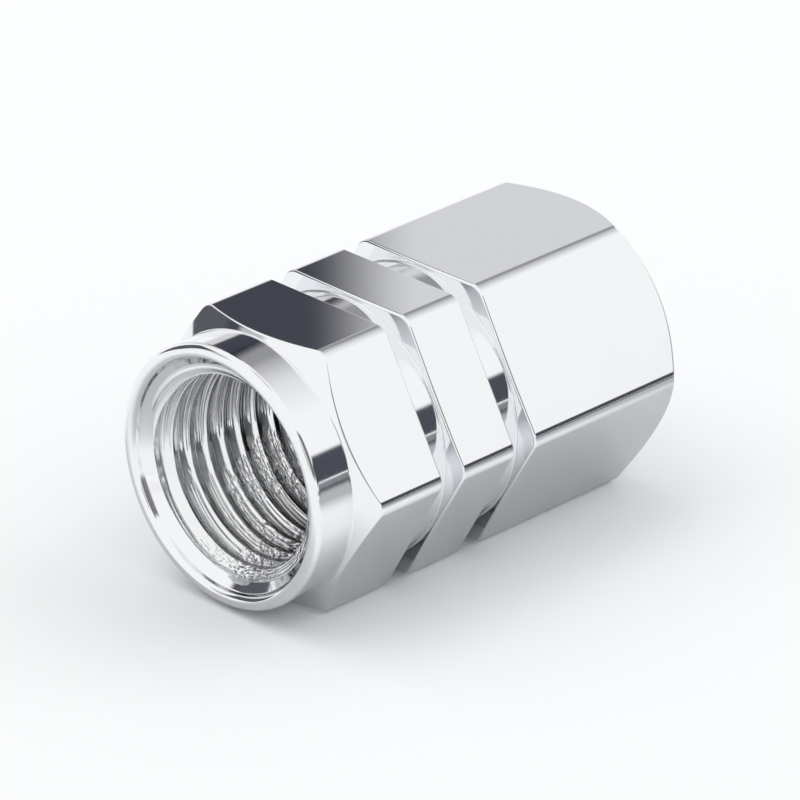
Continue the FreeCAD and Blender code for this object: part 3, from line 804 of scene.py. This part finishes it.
def addFlag(name, flag):
    distance = studio["flagDistance"]
    width, height = (2 * distance * math.tan(math.radians(flag[side] / 2)) for side in ("width", "height"))
    addCloth(name, direction(flag["azimuth"], flag["elevation"]) * distance,
             (flag["azimuth"] + 180, -flag["elevation"]), width, height, flag["darkness"], flag["soft"])


def addCard(name, card):
    addCloth(name, Vector(card["middle"]), (card["azimuth"], card["elevation"]),
             card["width"], card["height"], card["darkness"], card["soft"])


def addFloor():
    size = studio["floorSize"] / 2
    mesh = bpy.data.meshes.new("tableTop")
    corners = [(-size, -size, 0.0), (size, -size, 0.0), (size, size, 0.0), (-size, size, 0.0)]
    mesh.from_pydata(corners, [], [(0, 1, 2, 3)])
    material = bpy.data.materials.new("paleTable")
    material.use_nodes = True
    surface = material.node_tree.nodes["Principled BSDF"]
    surface.inputs["Base Color"].default_value = linearColour(studio["floorColour"])
    surface.inputs["Roughness"].default_value = studio["floorRoughness"]
    surface.inputs["Specular IOR Level"].default_value = studio["floorSpecular"]
    mesh.materials.append(material)
    addPiece("tableTop", mesh)


def makeWorld():
    world = bpy.data.worlds.new("whiteStudio")
    world.use_nodes = True
    bpy.context.scene.world = world
    tree = world.node_tree
    tree.nodes.clear()
    rays = addNode(tree, "ShaderNodeLightPath").outputs
    cameraOrGlossy = addNode(tree, "ShaderNodeMath", {"operation": "MAXIMUM"},
                             {0: rays["Is Camera Ray"], 1: rays["Is Glossy Ray"]})
    seen = addNode(tree, "ShaderNodeMath", {"operation": "MAXIMUM"},
                   {0: cameraOrGlossy, 1: rays["Is Transmission Ray"]})
    white = (1.0, 1.0, 1.0, 1.0)
    lighting = addNode(tree, "ShaderNodeBackground", {}, {"Color": white, "Strength": studio["ambient"]})
    background = addNode(tree, "ShaderNodeBackground", {}, {"Color": white, "Strength": 1.0})
    mixed = addNode(tree, "ShaderNodeMixShader", {}, {0: seen, 1: lighting, 2: background})
    addNode(tree, "ShaderNodeOutputWorld", {}, {"Surface": mixed})


# Soft boxes: name, azimuth from +X towards +Y, elevation, distance, side in metres and watts
lamps = [
    ("softBoxBackRight", 52.0, 42.0, 0.9, 0.7, 1.3),
    ("softBoxTopLeft", 215.0, 62.0, 0.9, 0.8, 2.0),
]


def addLamp(name, azimuth, elevation, distance, side, watts):
    light = bpy.data.lights.new(name, "AREA")
    light.shape = "SQUARE"
    light.size = side
    light.energy = watts
    lamp = bpy.data.objects.new(name, light)
    away = direction(azimuth, elevation)
    lamp.location = away * distance
    lamp.rotation_mode = "QUATERNION"
    lamp.rotation_quaternion = away.to_track_quat("Z", "Y")
    lamp.visible_glossy = False
    bpy.context.collection.objects.link(lamp)


# Long lens, because the photograph shows hardly any perspective. The clips are shares of the distance.
photoView = {"azimuth": 45.0, "elevation": 25.85, "lens": 300.0, "sensor": 36.0, "frameWidth": 28.0,
             "nearClip": 0.05, "farClip": 20.0}


def addCamera(view):
    camera = bpy.data.cameras.new("photoCamera")
    camera.lens = view["lens"]
    camera.sensor_width = view["sensor"]
    distance = view["frameWidth"] * mm * view["lens"] / view["sensor"]
    camera.clip_start = distance * view["nearClip"]
    camera.clip_end = distance * view["farClip"]
    holder = bpy.data.objects.new("photoCamera", camera)
    back = direction(view["azimuth"] - 90.0, view["elevation"])
    centre = (cadBox[0] + cadBox[1]) / 2
    holder.location = centre + back * distance
    holder.rotation_mode = "QUATERNION"
    holder.rotation_quaternion = (-back).to_track_quat("-Z", "Y")
    bpy.context.collection.objects.link(holder)
    bpy.context.scene.camera = holder


bpy.context.scene.view_settings.view_transform = "Standard"
platedBrass = makePlatedBrass(chromeLook)
tappedBrass = makeTappedBrass(threadLook)
nitrileRubber = makeNitrileRubber(rubberLook)
print("plated brass, tapped brass and rubber are made")
turningTree = makeTurningTree()
makeCapBody(turningTree, platedBrass)
makeWasher(turningTree, nitrileRubber)
makeThread(tappedBrass)
makeWorld()
addFloor()
for flagName, flag in flags.items():
    addFlag(flagName, flag)
for cardName, card in cards.items():
    addCard(cardName, card)
for lampSizes in lamps:
    addLamp(*lampSizes)
addCamera(photoView)
print("studio and camera are set")
